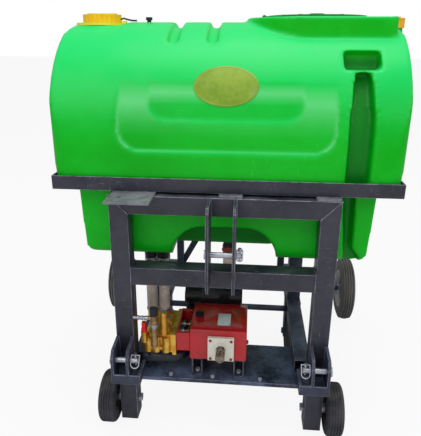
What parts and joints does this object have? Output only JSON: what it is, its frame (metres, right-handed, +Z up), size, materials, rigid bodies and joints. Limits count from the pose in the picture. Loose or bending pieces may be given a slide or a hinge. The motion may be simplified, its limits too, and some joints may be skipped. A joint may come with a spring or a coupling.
{
  "type": "wheeled sprayer cart",
  "caption": "Three-point sprayer cart: moulded green tank in a steel ring frame on wheels, with a shaft-driven plunger pump, hoses and filter.",
  "frame": {"origin": "on the ground at the middle of the machine's footprint", "axes": "+X across the machine to the right seen from the tractor, +Y from the tractor side to the rear, +Z up"},
  "size_m": [1.336, 1.202, 1.5303],
  "materials": {
    "frame_paint": "satin slate paint, scuffed",
    "dark_paint": "satin blue-black paint, worn",
    "pad_steel": "bare scuffed plate",
    "tank_green": "satin rotomoulded polyethylene",
    "lid_green": "satin",
    "cap_yellow": "satin",
    "collar_yellow": "satin",
    "cap_orange": "satin",
    "black_plastic": "satin",
    "tyre": "dusty rubber",
    "zinc_steel": "zinc plated",
    "brass": "cast and machined, dull",
    "red_paint": "gloss enamel",
    "red_plastic": "gloss",
    "cover_paint": "off-white enamel",
    "shaft_steel": "oiled",
    "clear_hose": "milky, ribbed",
    "black_rubber": "satin",
    "basket_plastic": "satin"
  },
  "bodies": {
    "cart": {"post_left": "frame_paint", "post_right": "frame_paint", "top_crossbar": "frame_paint", "mid_crossbar": "frame_paint", "crossbar_pads": "pad_steel", "toplink_ear_left": "frame_paint", "toplink_ear_right": "frame_paint", "lower_bracket_left": "dark_paint", "lower_bracket_right": "dark_paint", "front_axles": "zinc_steel", "middle_forks": "dark_paint", "rear_axle": "dark_paint", "ring_front": "frame_paint", "ring_rear": "frame_paint", "ring_left": "frame_paint", "ring_right": "frame_paint", "side_rails": "dark_paint", "tank_legs": "dark_paint", "rear_uprights": "dark_paint", "frame_braces": "dark_paint", "pump_tray": "dark_paint", "fasteners": "zinc_steel", "tank_shell": "tank_green", "tank_outlets": "black_plastic", "lid_hinge": "black_plastic", "basket_strainer": "basket_plastic", "left_cap_collar": "collar_yellow", "breather": "black_plastic", "clear_hoses": "clear_hose", "suction_filter": "black_plastic", "black_hose": "black_rubber", "pump_base": "dark_paint", "crankcase": "red_paint", "bearing_covers": "cover_paint", "gland_rings": "zinc_steel", "pump_head": "brass", "regulator": "brass"},
    "front_wheel_left": {"front_wheel_left": "tyre"},
    "middle_wheel_left": {"middle_wheel_left": "tyre"},
    "rear_wheel_left": {"rear_wheel_left": "tyre"},
    "front_wheel_right": {"front_wheel_right": "tyre"},
    "middle_wheel_right": {"middle_wheel_right": "tyre"},
    "rear_wheel_right": {"rear_wheel_right": "tyre"},
    "toplink_pin": {"toplink_pin": "zinc_steel"},
    "toplink_ring": {"toplink_ring": "zinc_steel"},
    "lower_pin_left": {"lower_pin_left": "zinc_steel"},
    "linchpin_ring_left": {"linchpin_ring_left": "zinc_steel"},
    "lower_pin_right": {"lower_pin_right": "zinc_steel"},
    "linchpin_ring_right": {"linchpin_ring_right": "zinc_steel"},
    "main_lid": {"main_lid": "lid_green"},
    "left_cap": {"left_cap": "cap_yellow"},
    "right_cap": {"right_cap": "cap_orange"},
    "oil_cap": {"oil_cap": "black_plastic"},
    "outlet_lever": {"outlet_lever": "red_plastic"},
    "crankshaft": {"crankshaft": "shaft_steel"},
    "plunger_front": {"plunger_front": "shaft_steel"},
    "plunger_middle": {"plunger_middle": "shaft_steel"},
    "plunger_rear": {"plunger_rear": "shaft_steel"},
    "regulator_knob": {"regulator_knob": "black_plastic"},
    "bypass_lever": {"bypass_lever": "red_plastic"}
  },
  "joints": [
    {"name": "front_wheel_left_spin", "type": "hinge", "parent": "cart", "child": "front_wheel_left", "pos_m": [-0.433, -0.449, 0.1], "axis": [1, 0, 0], "continuous": true},
    {"name": "middle_wheel_left_spin", "type": "hinge", "parent": "cart", "child": "middle_wheel_left", "pos_m": [-0.31, 0.087, 0.1], "axis": [1, 0, 0], "continuous": true},
    {"name": "rear_wheel_left_spin", "type": "hinge", "parent": "cart", "child": "rear_wheel_left", "pos_m": [-0.618, 0.436, 0.165], "axis": [1, 0, 0], "continuous": true},
    {"name": "front_wheel_right_spin", "type": "hinge", "parent": "cart", "child": "front_wheel_right", "pos_m": [0.433, -0.449, 0.1], "axis": [1, 0, 0], "continuous": true},
    {"name": "middle_wheel_right_spin", "type": "hinge", "parent": "cart", "child": "middle_wheel_right", "pos_m": [0.31, 0.087, 0.1], "axis": [1, 0, 0], "continuous": true},
    {"name": "rear_wheel_right_spin", "type": "hinge", "parent": "cart", "child": "rear_wheel_right", "pos_m": [0.618, 0.436, 0.165], "axis": [1, 0, 0], "continuous": true},
    {"name": "toplink_pin_turn", "type": "hinge", "parent": "cart", "child": "toplink_pin", "pos_m": [0, -0.545, 0.771], "axis": [1, 0, 0], "continuous": true},
    {"name": "toplink_ring_swing", "type": "hinge", "parent": "toplink_pin", "child": "toplink_ring", "pos_m": [0.0613, -0.545, 0.7925], "axis": [-1, 0, 0], "range_deg": [0, 120]},
    {"name": "lower_pin_left_turn", "type": "hinge", "parent": "cart", "child": "lower_pin_left", "pos_m": [-0.34, -0.548, 0.342], "axis": [1, 0, 0], "range_deg": [-90, 45]},
    {"name": "linchpin_ring_left_swing", "type": "hinge", "parent": "lower_pin_left", "child": "linchpin_ring_left", "pos_m": [-0.3037, -0.548, 0.365], "axis": [-1, 0, 0], "range_deg": [0, 140]},
    {"name": "lower_pin_right_turn", "type": "hinge", "parent": "cart", "child": "lower_pin_right", "pos_m": [0.34, -0.548, 0.342], "axis": [1, 0, 0], "range_deg": [-90, 45]},
    {"name": "linchpin_ring_right_swing", "type": "hinge", "parent": "lower_pin_right", "child": "linchpin_ring_right", "pos_m": [0.3037, -0.548, 0.365], "axis": [-1, 0, 0], "range_deg": [0, 140]},
    {"name": "lid_open", "type": "hinge", "parent": "cart", "child": "main_lid", "pos_m": [0.12, -0.038, 1.5173], "axis": [0, -1, 0], "range_deg": [0, 110]},
    {"name": "left_cap_unscrew", "type": "hinge", "parent": "cart", "child": "left_cap", "pos_m": [-0.482, -0.083, 1.5], "axis": [0, 0, 1], "range_deg": [0, 540]},
    {"name": "right_cap_unscrew", "type": "hinge", "parent": "cart", "child": "right_cap", "pos_m": [0.592, -0.063, 1.49], "axis": [0, 0, 1], "range_deg": [0, 540]},
    {"name": "oil_cap_unscrew", "type": "hinge", "parent": "cart", "child": "oil_cap", "pos_m": [-0.09, -0.358, 0.4305], "axis": [0, 0, 1], "range_deg": [0, 540]},
    {"name": "outlet_lever_turn", "type": "hinge", "parent": "cart", "child": "outlet_lever", "pos_m": [0.01, -0.2298, 0.656], "axis": [0, 1, 0], "range_deg": [0, 90]},
    {"name": "crankshaft_spin", "type": "hinge", "parent": "cart", "child": "crankshaft", "pos_m": [0, -0.36, 0.357], "axis": [0, 1, 0], "continuous": true},
    {"name": "plunger_front_stroke", "type": "slide", "parent": "cart", "child": "plunger_front", "axis": [1, 0, 0], "range_m": [-0.009, 0.009]},
    {"name": "plunger_middle_stroke", "type": "slide", "parent": "cart", "child": "plunger_middle", "axis": [1, 0, 0], "range_m": [-0.009, 0.009]},
    {"name": "plunger_rear_stroke", "type": "slide", "parent": "cart", "child": "plunger_rear", "axis": [1, 0, 0], "range_m": [-0.009, 0.009]},
    {"name": "regulator_knob_turn", "type": "hinge", "parent": "cart", "child": "regulator_knob", "pos_m": [-0.245, -0.485, 0.5], "axis": [0, 0, 1], "range_deg": [0, 720]},
    {"name": "bypass_lever_turn", "type": "hinge", "parent": "cart", "child": "bypass_lever", "pos_m": [-0.285, -0.475, 0.43], "axis": [0, 0, 1], "range_deg": [0, 90]}
  ]
}
